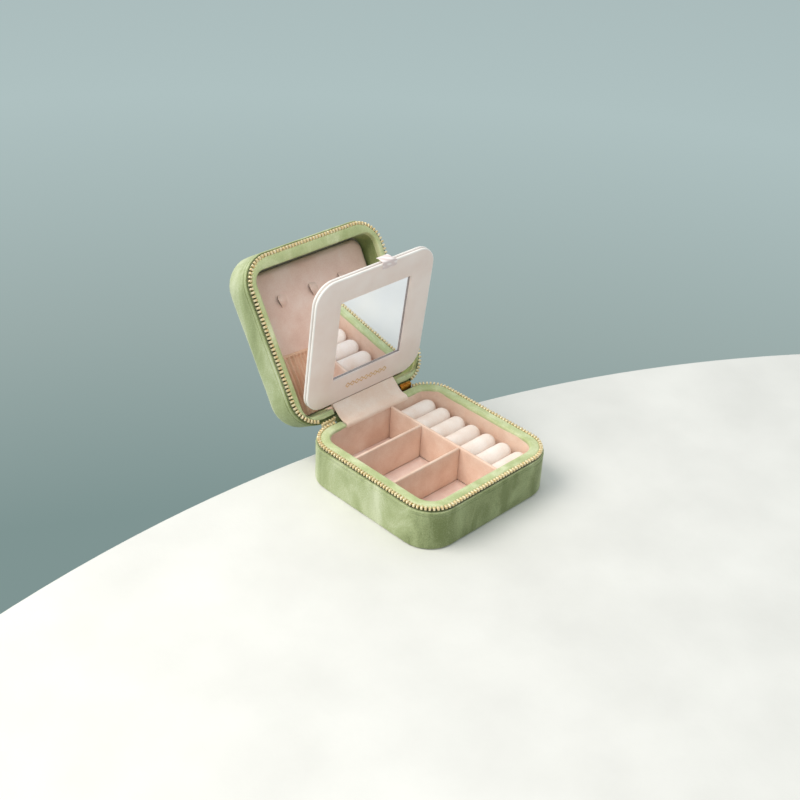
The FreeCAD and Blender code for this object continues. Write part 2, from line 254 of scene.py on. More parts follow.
def woven(name, dark, light, thread=0.55):
    """Plain-woven polyester tape: threads over and under, drawn a little coarse so that they show."""
    material, tree, shader = new_material(name)
    place = add(tree, "ShaderNodeTexCoord").outputs["Object"]
    across = add(tree, "ShaderNodeTexWave", {"Vector": place, "Scale": per_mm(thread) / 20.0},
                 bands_direction="DIAGONAL").outputs["Fac"]
    along = add(tree, "ShaderNodeTexWave", {"Vector": place, "Scale": per_mm(thread) / 20.0},
                bands_direction="Z").outputs["Fac"]
    weave = add(tree, "ShaderNodeMath", {0: across, 1: along}, operation="MULTIPLY").outputs[0]
    tree.links.new(ramp(tree, weave, [(0.1, dark), (0.7, light)]), shader.inputs["Base Color"])
    tree.links.new(bump(tree, weave, 0.5, 0.2), shader.inputs["Normal"])
    shader.inputs["Roughness"].default_value = 0.8
    shader.inputs["Sheen Weight"].default_value = 0.2
    return material


def silvered_glass(name):
    """Float glass silvered on its back: a near-perfect neutral reflection."""
    material, tree, shader = new_material(name)
    place = add(tree, "ShaderNodeTexCoord").outputs["Object"]
    haze = add(tree, "ShaderNodeTexNoise", {"Vector": place, "Scale": per_mm(30.0)}).outputs["Fac"]
    tree.links.new(ramp(tree, haze, [(0.3, "F2F7FF"), (0.7, "FAFCFF")]), shader.inputs["Base Color"])
    shader.inputs["Metallic"].default_value = 1.0
    shader.inputs["Roughness"].default_value = 0.015
    return material


def pressed_board(name, dark, light):
    """Grey pressed board, cut from sheet: short fibres in a matt felted surface."""
    material, tree, shader = new_material(name)
    place = add(tree, "ShaderNodeTexCoord").outputs["Object"]
    fibre = add(tree, "ShaderNodeTexNoise", {"Vector": place, "Scale": per_mm(1.2), "Detail": 4.0,
                                             "Roughness": 0.7}).outputs["Fac"]
    tree.links.new(ramp(tree, fibre, [(0.35, dark), (0.65, light)]), shader.inputs["Base Color"])
    tree.links.new(bump(tree, fibre, 0.3, 0.1), shader.inputs["Normal"])
    shader.inputs["Roughness"].default_value = 0.92
    return material


def open_foam(name, dark, light):
    """Open-cell polyurethane foam, cut on a slitter: small round cells."""
    material, tree, shader = new_material(name)
    place = add(tree, "ShaderNodeTexCoord").outputs["Object"]
    cells = add(tree, "ShaderNodeTexVoronoi", {"Vector": place, "Scale": per_mm(0.9)}).outputs["Distance"]
    tree.links.new(ramp(tree, cells, [(0.1, dark), (0.6, light)]), shader.inputs["Base Color"])
    tree.links.new(bump(tree, cells, 0.5, 0.3), shader.inputs["Normal"])
    shader.inputs["Roughness"].default_value = 0.95
    return material


def plaster(name, low, high):
    """Painted plaster tabletop, trowelled and matt: a faint cloudy tone and a fine tooth."""
    material, tree, shader = new_material(name)
    place = add(tree, "ShaderNodeTexCoord").outputs["Object"]
    cloud = add(tree, "ShaderNodeTexNoise", {"Vector": place, "Scale": per_mm(60.0),
                                             "Detail": 5.0}).outputs["Fac"]
    tooth = add(tree, "ShaderNodeTexNoise", {"Vector": place, "Scale": per_mm(2.5),
                                             "Detail": 3.0}).outputs["Fac"]
    tree.links.new(ramp(tree, cloud, [(0.3, low), (0.7, high)]), shader.inputs["Base Color"])
    tree.links.new(bump(tree, tooth, 0.3, 0.2), shader.inputs["Normal"])
    shader.inputs["Roughness"].default_value = 0.85
    return material


MATERIALS = {}


def finishes():
    """Every finish of the case, by its short name."""
    if not MATERIALS:
        MATERIALS.update({
            # The sage cover velvet carries painted shade: its faces turned towards -Y are darker.
            "sage": velvet("Sage Cotton Velvet", "727E4F", "A6B184", "CBD2B2", painted_facing_shade=0.17),
            # Painted highlight: the rim velvet is a paler copy of the sage velvet, standing in for its
            # top-lit faces.
            "band": velvet("Sage Rim Velvet", "A0AE78", "BBC694", "D5DCB6", nap=12.0),
            # Painted shade: the lid's inner-wall velvet is a darker copy of the sage velvet, standing in
            # for the lid's own shadow.
            "inner": velvet("Sage Lining Velvet", "5E6E3C", "82935C", "A0AE7A", nap=12.0),
            "lining": microsuede("Blush Microsuede", "DDBBA6", "E7CBB8", "F0DACA"),
            "strap": microsuede("Blush Hinge Microsuede", "ECCFBB", "F4DDCC", "FBEBDE"),
            "padding": microsuede("Blush Padded Microsuede", "E2C3B7", "ECD2C7", "F3E0D8"),
            "rolls": microsuede("Pale Blush Microsuede", "EEDCD0", "F5E9E1", "FBF3ED"),
            "pocket": microsuede("Apricot Stretch Microfibre", "D3A78C", "E2BDA4", "EDCFBA"),
            # Painted shade: a dark umber suede for the slit under each hook's raised side.
            "painted_slit_shade": microsuede("Umber Microsuede", "6E5446", "83675A", "96796B"),
            "leatherette": leatherette("Blush Leatherette", "F1DFD7", "F7EAE4"),
            "edge": leatherette("Ivory Leatherette Edge", "F4EDE9", "FBF7F4"),
            "groove": leatherette("Grey Leatherette Lining", "B9AFA8", "C9C0B9"),
            "coil": metallised_coil("Metallised Nylon Coil", "FBEFCB", "E3C88F"),
            "slider": gilt("Gold Plated Zinc", "E3A552", "C07F33", roughness=0.3),
            "foil": gilt("Gold Hot-Stamping Foil", "E6C98A", "D3AE68", roughness=0.36),
            "tape": woven("Olive Polyester Zip Tape", "3E4126", "6C7546"),
            "ribbon": woven("Pale Satin Ribbon", "E3D3D2", "F7EEEE", thread=0.4),
            "mirror": silvered_glass("Silvered Float Glass"),
            "board": pressed_board("Grey Pressed Board", "8A857D", "A8A297"),
            "cut_edge": pressed_board("Brown Board, Cut Edge", "54413A", "6B554B"),
            "foam": open_foam("Open-Cell Foam", "D8D2C4", "EFEBE0"),
        })
    return MATERIALS


# ---------------------------------------------------------------- helpers: modelling by operators

def deselect():
    """Leave edit mode and select nothing."""
    if bpy.context.object and bpy.context.object.mode != "OBJECT":
        bpy.ops.object.mode_set(mode="OBJECT")
    bpy.ops.object.select_all(action="DESELECT")


def only(piece):
    """Make piece the one selected and active object."""
    deselect()
    piece.select_set(True)
    bpy.context.view_layer.objects.active = piece
    return piece


def edit(piece):
    """Enter edit mode on piece with nothing selected."""
    only(piece)
    bpy.ops.object.mode_set(mode="EDIT")
    bpy.ops.mesh.select_all(action="DESELECT")


def leave():
    """Back to object mode."""
    bpy.ops.object.mode_set(mode="OBJECT")


def pick(piece, kind, test):
    """In edit mode, select the faces or edges that pass a test."""
    bpy.ops.mesh.select_mode(type="FACE" if kind == "faces" else "EDGE")
    work = bmesh.from_edit_mesh(piece.data)
    work.normal_update()
    for element in getattr(work, kind):
        element.select_set(test(element))
    work.select_flush_mode()
    bmesh.update_edit_mesh(piece.data)


def along(edge, axis):
    """Whether an edge runs along one axis (0, 1 or 2)."""
    way = edge.verts[1].co - edge.verts[0].co
    return abs(way[axis]) > 0.999 * way.length


def block(name, low, high, corner=0.0, steps=8):
    """A block between two corners, its upright edges rounded by a bevel."""
    deselect()
    low, high = Vector(low), Vector(high)
    bpy.ops.mesh.primitive_cube_add(size=1, location=(low + high) / 2, scale=high - low)
    piece = bpy.context.object
    piece.name = name
    bpy.ops.object.transform_apply(location=True, rotation=True, scale=True)
    if corner:
        edit(piece)
        pick(piece, "edges", lambda e: along(e, 2))
        bpy.ops.mesh.bevel(offset=corner, segments=steps, affect="EDGES", clamp_overlap=False)
        leave()
    return piece


def finish_with(piece, kind, **settings):
    """Add one modifier and apply it."""
    only(piece)
    modifier = piece.modifiers.new(kind.title(), kind)
    for key, value in settings.items():
        setattr(modifier, key, value)
    bpy.ops.object.modifier_apply(modifier=modifier.name)
    return piece


def cut(piece, *tools):
    """Take each tool's volume out of piece."""
    for tool in tools:
        finish_with(piece, "BOOLEAN", operation="DIFFERENCE", object=tool, solver="EXACT")
        bpy.data.objects.remove(tool)
    return piece


def soften(piece, width, segments=3, angle=35.0):
    """Round every edge sharper than an angle."""
    return finish_with(piece, "BEVEL", width=width * MM, segments=segments, limit_method="ANGLE",
                       angle_limit=math.radians(angle), harden_normals=False)


def slice_up(piece, axis, places):
    """Cut rows of new edges into piece on planes across one axis."""
    edit(piece)
    normal = [0, 0, 0]
    normal[axis] = 1
    for place in places:
        point = [0, 0, 0]
        point[axis] = place
        bpy.ops.mesh.select_all(action="SELECT")
        bpy.ops.mesh.bisect(plane_co=point, plane_no=normal)
    leave()
    return piece


def steps_between(low, high, count):
    """Evenly spaced places inside a range."""
    return [low + (high - low) * (i + 1) / (count + 1) for i in range(count)]


def unevenness(piece, depth, size):
    """Push the surface in and out a little, as cloth glued over board does."""
    texture = bpy.data.textures.new(piece.name + "-unevenness", "CLOUDS")
    texture.noise_scale = size * MM
    texture.noise_depth = 1
    return finish_with(piece, "DISPLACE", texture=texture, strength=depth * MM, mid_level=0.5,
                       texture_coords="LOCAL")


def smooth(piece, angle=40.0):
    """Smooth shading up to an angle between faces."""
    only(piece)
    bpy.ops.object.shade_smooth_by_angle(angle=math.radians(angle))
    return piece


def joined(name, pieces):
    """Join pieces into one object."""
    deselect()
    for piece in pieces:
        piece.select_set(True)
    bpy.context.view_layer.objects.active = pieces[0]
    bpy.ops.object.join()
    pieces[0].name = name
    return pieces[0]


def opened(piece, angle):
    """Turn a piece that was modelled closed open about the hinge line."""
    turn = Matrix.Rotation(-angle, 4, "X")
    piece.data.transform(Matrix.Translation(HINGE) @ turn @ Matrix.Translation(-HINGE))
    return piece


def dress(piece, finish, body=None, replaced=()):
    """Give a piece its finish, its body and the CAD nodes that it stands for."""
    piece.data.materials.clear()
    piece.data.materials.append(finishes()[finish])
    if body:
        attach(piece, body)
    if replaced:
        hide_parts(*replaced)
    return piece


def paint(node, finish):
    """Give a CAD node its finish."""
    mesh = frame["nodes"][node].data
    mesh.materials.clear()
    mesh.materials.append(finishes()[finish])


def line_mesh(name, points, closed):
    """A mesh of joined edges through the points, ready to be extruded."""
    mesh = bpy.data.meshes.new(name)
    edges = [(i, i + 1) for i in range(len(points) - 1)]
    if closed:
        edges.append((len(points) - 1, 0))
    mesh.from_pydata(points, edges, [])
    piece = bpy.data.objects.new(name, mesh)
    bpy.context.scene.collection.objects.link(piece)
    return piece


def arc(centre, radius, start, stop, count):
    """Points on an arc in the section plane, from one angle to another in degrees."""
    angles = [math.radians(start + (stop - start) * i / count) for i in range(count + 1)]
    return [(centre[0] + radius * math.cos(a), centre[1] + radius * math.sin(a)) for a in angles]


def ring(name, section, outline, corner, closed=True, gap=None, runs=8, turns=8):
    """Carry a section round a rounded rectangle by extruding the straights and spinning the corners.

    The section is (inset from the outline, height) points in metres, outline is x and y ranges, and
    gap is the x range left open on the +Y side.
    """
    (x0, x1), (y0, y1) = outline
    start, stop = (gap[1], gap[0]) if gap else (0.0, 0.0)
    piece = line_mesh(name, [(start, y1 - inset, height) for inset, height in section], closed)
    edit(piece)
    bpy.ops.mesh.select_all(action="SELECT")

    def run(length, way):
        for _ in range(runs):
            step = [length / runs * c for c in way]
            bpy.ops.mesh.extrude_edges_move(TRANSFORM_OT_translate={"value": step})

    def spin(centre):
        bpy.ops.mesh.spin(steps=turns, angle=math.pi / 2, center=(*centre, 0), axis=(0, 0, 1))

    run(x1 - corner - start, (1, 0, 0))
    spin((x1 - corner, y1 - corner))
    run(y1 - y0 - 2 * corner, (0, -1, 0))
    spin((x1 - corner, y0 + corner))
    run(x1 - x0 - 2 * corner, (-1, 0, 0))
    spin((x0 + corner, y0 + corner))
    run(y1 - y0 - 2 * corner, (0, 1, 0))
    spin((x0 + corner, y1 - corner))
    run(stop - x0 - corner, (1, 0, 0))
    bpy.ops.mesh.select_all(action="SELECT")
    bpy.ops.mesh.remove_doubles(threshold=0.00001)
    if gap and closed:
        bpy.ops.mesh.select_all(action="DESELECT")
        bpy.ops.mesh.select_mode(type="EDGE")
        bpy.ops.mesh.select_non_manifold(extend=False)
        bpy.ops.mesh.edge_face_add()
        bpy.ops.mesh.select_all(action="SELECT")
    bpy.ops.mesh.normals_make_consistent(inside=False)
    leave()
    return piece


def square(half):
    """The outline of a square about the case's middle."""
    return ((-half, half), (-half, half))


def stuffed(piece, pressure, cap, voxel, pinned=None, scale=20.0, frames=16):
    """Swell a closed shape as stuffed cloth: remesh, simulate under pressure, keep the result."""
    piece.data.transform(Matrix.Scale(scale, 4))
    only(piece)
    finish_with(piece, "REMESH", mode="VOXEL", voxel_size=voxel * MM * scale)
    before = [v.co.copy() for v in piece.data.vertices]
    group = piece.vertex_groups.new(name="held")
    if pinned:
        held = [v.index for v in piece.data.vertices if pinned(v.co / scale)]
        group.add(held, 1.0, "REPLACE")
    cloth = piece.modifiers.new("Cloth", "CLOTH")
    cloth.settings.use_pressure = True
    cloth.settings.uniform_pressure_force = pressure
    cloth.settings.effector_weights.gravity = 0
    cloth.settings.vertex_group_mass = "held"
    cloth.point_cache.frame_start = 1
    cloth.point_cache.frame_end = frames
    scene = bpy.context.scene
    for number in range(1, frames + 1):
        scene.frame_set(number)
    bpy.ops.object.modifier_apply(modifier=cloth.name)
    limit = cap * MM * scale
    for vertex, old in zip(piece.data.vertices, before):
        move = vertex.co - old
        if move.length > limit:
            vertex.co = old + move.normalized() * limit
    scene.frame_set(1)
    piece.vertex_groups.clear()
    piece.data.transform(Matrix.Scale(1 / scale, 4))
    finish_with(piece, "SMOOTH", iterations=3, factor=0.5)
    return piece


# ---------------------------------------------------------------- what a user would change

class CaseSettings(bpy.types.PropertyGroup):
    """Sizes and studio values of the jewelry case."""

    lid_height: bpy.props.FloatProperty(
        name="Lid Height", description="Height of the lid above the parting plane",
        default=24.4 * MM, unit="LENGTH")
    top_edge: bpy.props.FloatProperty(
        name="Top Edge", description="Rounding of the lid's soft top edge", default=8.0 * MM, unit="LENGTH")
    cover_wall: bpy.props.FloatProperty(
        name="Cover", description="Thickness of the velvet cover", default=1.2 * MM, unit="LENGTH")
    cover_gap: bpy.props.FloatProperty(
        name="Zip Room", description="From the parting plane to each cover's edge",
        default=2.6 * MM, unit="LENGTH")
    tooth_pitch: bpy.props.FloatProperty(
        name="Tooth Pitch", description="From one zip tooth to the next", default=2.05 * MM, unit="LENGTH")
    pleat_pitch: bpy.props.FloatProperty(
        name="Pleat Pitch", description="From one pocket pleat to the next",
        default=2.6 * MM, unit="LENGTH")
    pocket_fullness: bpy.props.FloatProperty(
        name="Pocket Fullness", description="Cut width of the pocket over the width it is gathered to",
        default=1.5, min=1.0)
    key_power: bpy.props.FloatProperty(
        name="Key Light", description="Power of the window light", default=12.0, unit="POWER")
    lens: bpy.props.FloatProperty(
        name="Lens", description="Focal length of the camera", default=57.93, unit="CAMERA")
    hook_rise: bpy.props.FloatProperty(
        name="Hook Rise", description="How far the hooks stand off the back panel", default=3.0 * MM,
        unit="LENGTH")


def settings():
    """The scene's case settings."""
    return bpy.context.scene.jewelry_case


# ---------------------------------------------------------------- covers and rims

def velvet_shell(name, low, top, mouth_up, round_low, round_top):
    """A covered shell: a rounded block hollowed from its mouth, with a rolled lip and a seam groove."""
    wall = settings().cover_wall
    piece = block(name, (-HALF, -HALF, low), (HALF, HALF, top), CORNER)
    mouth, floor = (top, low) if mouth_up else (low, top)
    way = 1 if mouth_up else -1
    edge = round_low if mouth_up else round_top
    edit(piece)
    pick(piece, "edges", lambda e: all(abs(v.co.z - floor) < 1e-6 for v in e.verts))
    bpy.ops.mesh.bevel(offset=edge, segments=8, affect="EDGES")
    bpy.ops.mesh.select_all(action="DESELECT")
    pick(piece, "faces", lambda f: f.normal.z * way > 0.9 and abs(f.calc_center_median().z - mouth) < 1e-6)
    bpy.ops.mesh.inset(thickness=wall)
    depth = top - low - wall
    inner_edge = max(edge - wall, 0.5 * MM)
    bpy.ops.mesh.extrude_region_move(TRANSFORM_OT_translate={"value": (0, 0, -way * (depth - inner_edge))})
    bpy.ops.mesh.extrude_region_move(TRANSFORM_OT_translate={"value": (0, 0, -way * inner_edge)})
    shrink = (HALF - wall - inner_edge * 0.7) / (HALF - wall)
    bpy.ops.transform.resize(value=(shrink, shrink, 1))
    pick(piece, "edges", lambda e: all(abs(v.co.z - mouth) < 1e-6 for v in e.verts))
    bpy.ops.mesh.bevel(offset=0.55 * MM, segments=4, affect="EDGES")
    leave()
    seam = mouth - way * 2.3 * MM
    slice_up(piece, 2, [seam - 0.35 * MM, seam, seam + 0.35 * MM])
    edit(piece)
    outside = HALF - CORNER
    pick(piece, "edges", lambda e: all(abs(v.co.z - seam) < 1e-6 for v in e.verts)
         and outside_of(e.verts[0].co, outside) > CORNER - wall / 2)
    bpy.ops.transform.shrink_fatten(value=-0.3 * MM)
    leave()
    slice_up(piece, 0, steps_between(-HALF, HALF, 17))
    slice_up(piece, 1, steps_between(-HALF, HALF, 17))
    slice_up(piece, 2, steps_between(low, top, 5))
    return piece


def outside_of(point, half):
    """Distance of a point's plan position from a square of this half width."""
    return math.hypot(max(abs(point.x) - half, 0), max(abs(point.y) - half, 0))


class JEWELCASE_OT_covers(bpy.types.Operator):
    """Velvet covers of the base and the lid, with their seam groove"""

    bl_idname = "jewelcase.covers"
    bl_label = "Velvet Covers"

    def execute(self, context):
        values = settings()
        base = velvet_shell("base_velvet_cover", 0.0, PARTING - values.cover_gap, True, 1.5 * MM, 0)
        unevenness(base, 0.3, 16.0)
        for vertex in base.data.vertices:
            vertex.co.z = max(vertex.co.z, 0.0)
        dress(smooth(base), "sage", "base", ["base_cover"])
        lid = velvet_shell("lid_velvet_cover", PARTING + values.cover_gap, PARTING + values.lid_height,
                           False, 0, values.top_edge)
        unevenness(lid, 0.35, 18.0)
        dress(smooth(opened(lid, LID_OPEN)), "sage", "lid", ["lid_cover"])
        return {"FINISHED"}


class JEWELCASE_OT_rim_bands(bpy.types.Operator):
    """Velvet bands along both rims"""

    bl_idname = "jewelcase.rim_bands"
    bl_label = "Rim Bands"

    def execute(self, context):
        half, corner = HALF - BAND_INSET, CORNER - BAND_INSET
        base = block("base_rim_velvet", (-half, -half, PARTING - 3.0 * MM),
                     (half, half, PARTING - 0.35 * MM), corner)
        inside = block("inside", (-CAVITY, -CAVITY, 0), (CAVITY, CAVITY, 0.05), CORNER - HALF + CAVITY)
        gap = block("gap", (STRIP[0], 0.03, 0.01), (STRIP[1], 0.06, 0.04))
        cut(base, inside, gap)
        dress(smooth(soften(base, 1.0, 5)), "band", "base", ["base_rim_band"])

        lid = block("lid_rim_velvet", (-half, -half, PARTING + 0.1 * MM),
                    (half, half, PARTING + 4.2 * MM), corner)
        gap = block("gap", (STRIP[0] - 0.6 * MM, 0.0396, 0.02), (STRIP[1] + 0.6 * MM, 0.0456, 0.04))
        cut(lid, lid_hole("hole", -0.06 * MM), gap)
        dress(smooth(opened(soften(lid, 0.9, 5), LID_OPEN)), "band", "lid", ["lid_rim_band"])
        # The lid's inner wall gets the darker velvet: painted shade.
        paint("lid_lining", "inner")
        return {"FINISHED"}


def lid_hole(name, grow, low=-2.0, high=20.0):
    """The block of the lid's inside, modelled closed, between two depths in millimetres."""
    return block(name, (LID_LOW.x - grow, LID_LOW.y - grow, PARTING + low * MM),
                 (LID_HIGH.x + grow, LID_HIGH.y + grow, PARTING + high * MM), LID_CORNER + grow)


# ---------------------------------------------------------------- zip

def chain_stations():
    """Places and headings of the zip's teeth round the case, as in the frame."""
    half, corner = HALF - CHAIN_INSET, CORNER - CHAIN_INSET
    straight, bend = 2 * (half - corner), corner * math.pi / 2
    count = round(4 * (straight + bend) / settings().tooth_pitch)
    for i in range(count):
        side, travel = divmod(i * 4 * (straight + bend) / count, straight + bend)
        heading = max(travel - straight, 0) / corner
        x = min(travel, straight) - straight / 2 + corner * math.sin(heading)
        y = -half + corner * (1 - math.cos(heading))
        yield Matrix.Rotation(side * math.pi / 2, 4, "Z") @ Matrix.Translation((x, y, 0)) \
            @ Matrix.Rotation(heading, 4, "Z")


def tooth(name):
    """One zip tooth: a short bar with a raised, rounded head."""
    piece = block(name, (-0.6 * MM, -0.95 * MM, 0), (0.6 * MM, 0.95 * MM, 1.5 * MM))
    edit(piece)
    pick(piece, "faces", lambda f: f.normal.z > 0.9)
    bpy.ops.mesh.inset(thickness=0.2 * MM, depth=0.0)
    bpy.ops.transform.translate(value=(0, 0, 0.1 * MM))
    leave()
    return soften(piece, 0.16, 1, 50)


def tooth_row(name, height, gap, flip):
    """Copies of one tooth round the case, joined; flip turns them over for the lid."""
    first = tooth(name)
    turn = Matrix.Rotation(math.pi, 4, "X") if flip else Matrix()
    row = []
    for station in chain_stations():
        spot = station.translation
        if spot.y > 0.03 and gap[0] * MM < spot.x < gap[1] * MM:
            continue
        made = first.copy()
        made.data = first.data.copy()
        made.data.transform(Matrix.Translation((0, 0, height)) @ station @ turn)
        bpy.context.scene.collection.objects.link(made)
        row.append(made)
    bpy.data.objects.remove(first)
    return joined(name, row)


def beveled_copy(node, name, width, segments=2):
    """A copy of a CAD node with its faces joined and its edges rounded."""
    source = frame["nodes"][node]
    piece = bpy.data.objects.new(name, source.data.copy())
    bpy.context.scene.collection.objects.link(piece)
    edit(piece)
    bpy.ops.mesh.select_all(action="SELECT")
    bpy.ops.mesh.remove_doubles(threshold=0.000005)
    bpy.ops.mesh.dissolve_limited(angle_limit=math.radians(3))
    leave()
    return soften(piece, width, segments)


class JEWELCASE_OT_zip(bpy.types.Operator):
    """Zip teeth, tapes, joined end, slider and pull"""

    bl_idname = "jewelcase.zip"
    bl_label = "Zip"

    def execute(self, context):
        base = tooth_row("base_tooth_row", PARTING - ROW_OFFSET, (-25.0, 31.8), False)
        dress(smooth(base), "coil", "base", ["base_zip_teeth"])
        lid = tooth_row("lid_tooth_row", PARTING + ROW_OFFSET, (-35.0, 34.0), True)
        dress(smooth(opened(lid, LID_OPEN)), "coil", "lid", ["lid_zip_teeth"])
        for node in ("base_zip_tape", "lid_zip_tape"):
            paint(node, "tape")
        for node, name, finish, body in (("zip_closed_end", "zip_joined_end", "coil", "base"),
                                         ("zip_slider", "zip_slider_body", "slider", "base"),
                                         ("zip_pull", "zip_pull_tab", "slider", "zip_pull")):
            dress(smooth(beveled_copy(node, name, 0.18)), finish, body, [node])
        return {"FINISHED"}


# ---------------------------------------------------------------- tray

def padded_board(name, low, high):
    """A board wrapped in suede: rounded edges, a square foot and slightly full faces."""
    piece = block(name, low - Vector((0, 0, 1.0)) * MM, high)
    slice_up(piece, 0, steps_between(low[0], high[0], 12) if high[0] - low[0] > 0.01 else [])
    slice_up(piece, 1, steps_between(low[1], high[1], 16) if high[1] - low[1] > 0.01 else [])
    slice_up(piece, 2, steps_between(low[2], high[2], 5))
    soften(piece, 0.75, 4, 60)
    edit(piece)
    bpy.ops.mesh.select_all(action="SELECT")
    bpy.ops.mesh.bisect(plane_co=low, plane_no=(0, 0, 1), clear_inner=True, use_fill=True)
    leave()
    return unevenness(piece, 0.25, 9.0)


def compartments():
    """Plan corners of the three compartments, between the dividers' faces."""
    left, right = -CAVITY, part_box("long_divider")[0].x
    back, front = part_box("divider_back"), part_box("divider_front")
    return [((left, back[1].y), (right, CAVITY)), ((left, front[1].y), (right, back[0].y)),
            ((left, -CAVITY), (right, front[0].y))]


class JEWELCASE_OT_tray(bpy.types.Operator):
    """Lining, dividers and floor pads of the base"""

    bl_idname = "jewelcase.tray"
    bl_label = "Tray"

    def execute(self, context):
        low, top = FLOOR - 0.8 * MM, PARTING - 1.2 * MM
        section = [(0, low), (0, top - 0.6 * MM)]
        section += arc((-0.6 * MM, top - 0.6 * MM), 0.6 * MM, 0, 90, 4)
        section += [(-0.75 * MM, top), (-0.75 * MM, low)]
        lining = ring("tray_lining_wall", section, square(CAVITY), CORNER - HALF + CAVITY, runs=12)
        unevenness(lining, 0.2, 10.0)
        dress(smooth(lining), "lining", "base", ["base_lining"])
        for name, body in (("long_divider", "base"), ("divider_back", "divider_back"),
                           ("divider_front", "divider_front")):
            near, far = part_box(name)
            board = padded_board(name + "_suede", near, far)
            dress(smooth(board, 60), "lining", body, [name])
        cavity_corner = CORNER - HALF + CAVITY
        for place, (near, far) in zip(("back", "middle", "front"), compartments()):
            play = 0.02 * MM
            pad = block(f"floor_pad_{place}", (near[0] + play, near[1] + play, FLOOR - 0.7 * MM),
                        (far[0] - play, far[1] - play, FLOOR + 0.15 * MM))
            room = block("room", (-CAVITY + play, -CAVITY + play, 0),
                         (CAVITY, CAVITY - play, 0.02), cavity_corner)
            finish_with(pad, "BOOLEAN", operation="INTERSECT", object=room, solver="EXACT")
            bpy.data.objects.remove(room)
            soften(pad, 0.15, 2, 60)
            stuffed(pad, 2.0, 0.7, 0.45, pinned=lambda co: co.z < FLOOR - 0.1 * MM)
            dress(smooth(pad, 60), "padding", "base", ["base_floor_pad"])
        paint("ring_bed", "padding")
        # The tray's floor is lined, so a lifted divider leaves a lined slot behind.
        paint("base_shell", "sage")
        shell = frame["nodes"]["base_shell"].data
        shell.materials.append(finishes()["lining"])
        for face in shell.polygons:
            if face.normal.z > 0.5 and face.center.z < FLOOR:
                face.material_index = 1
        return {"FINISHED"}


class JEWELCASE_OT_ring_rolls(bpy.types.Operator):
    """The row of padded rolls that grip rings"""

    bl_idname = "jewelcase.ring_rolls"
    bl_label = "Ring Rolls"

    def execute(self, context):
        low, high = ROLL_LOW, ROLL_HIGH
        radius = (high.z - low.z) / 2 - 0.25 * MM
        deselect()
        bpy.ops.mesh.primitive_cylinder_add(
            vertices=40, radius=radius, depth=high.x - low.x - 0.3 * MM, rotation=(0, math.pi / 2, 0),
            location=(low + high) / 2)
        first = bpy.context.object
        first.name = "roll_pattern"
        bpy.ops.object.transform_apply(location=True, rotation=True, scale=True)
        edit(first)
        pick(first, "edges", lambda e: all(abs(v.co.x - (high.x - 0.15 * MM)) < 1e-5 for v in e.verts))
        bpy.ops.mesh.bevel(offset=0.93 * radius, segments=10, affect="EDGES")
        pick(first, "edges", lambda e: all(abs(v.co.x - (low.x + 0.15 * MM)) < 1e-5 for v in e.verts))
        bpy.ops.mesh.bevel(offset=0.6 * MM, segments=3, affect="EDGES")
        leave()
        middle = (low + high) / 2
        stuffed(first, 3.0, 0.45, 0.55, pinned=lambda co: co.z < middle.z - 0.8 * radius)
        unevenness(first, 0.25, 7.0)
        for number in range(1, 8):
            near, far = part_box(f"ring_roll_{number}")
            roll = first.copy()
            roll.data = first.data.copy()
            roll.name = f"ring_roll_suede_{number}"
            bpy.context.scene.collection.objects.link(roll)
            roll.data.transform(Matrix.Translation((0, (near.y + far.y) / 2 - middle.y, 0)))
            dress(smooth(roll, 60), "rolls", "base", [f"ring_roll_{number}"])
        bpy.data.objects.remove(first)
        return {"FINISHED"}


# ---------------------------------------------------------------- mirror page

def page_plate(name, low, high):
    """One leaf of the page, modelled closed, a little inside its beaded edge."""
    inset = Vector((0.55, 0.55, 0)) * MM
    return block(name, low + inset, high - inset, PAGE_CORNER - inset.x, 10)


def page_edge(name, low, high):
    """The turned-over edge of a leaf: a round bead along its outline."""
    radius = (high.z - low.z) / 2
    section = arc((radius, low.z + radius), radius, 0, 360, 10)[:-1]
    return ring(name, section, ((low.x, high.x), (low.y, high.y)), PAGE_CORNER, turns=10)


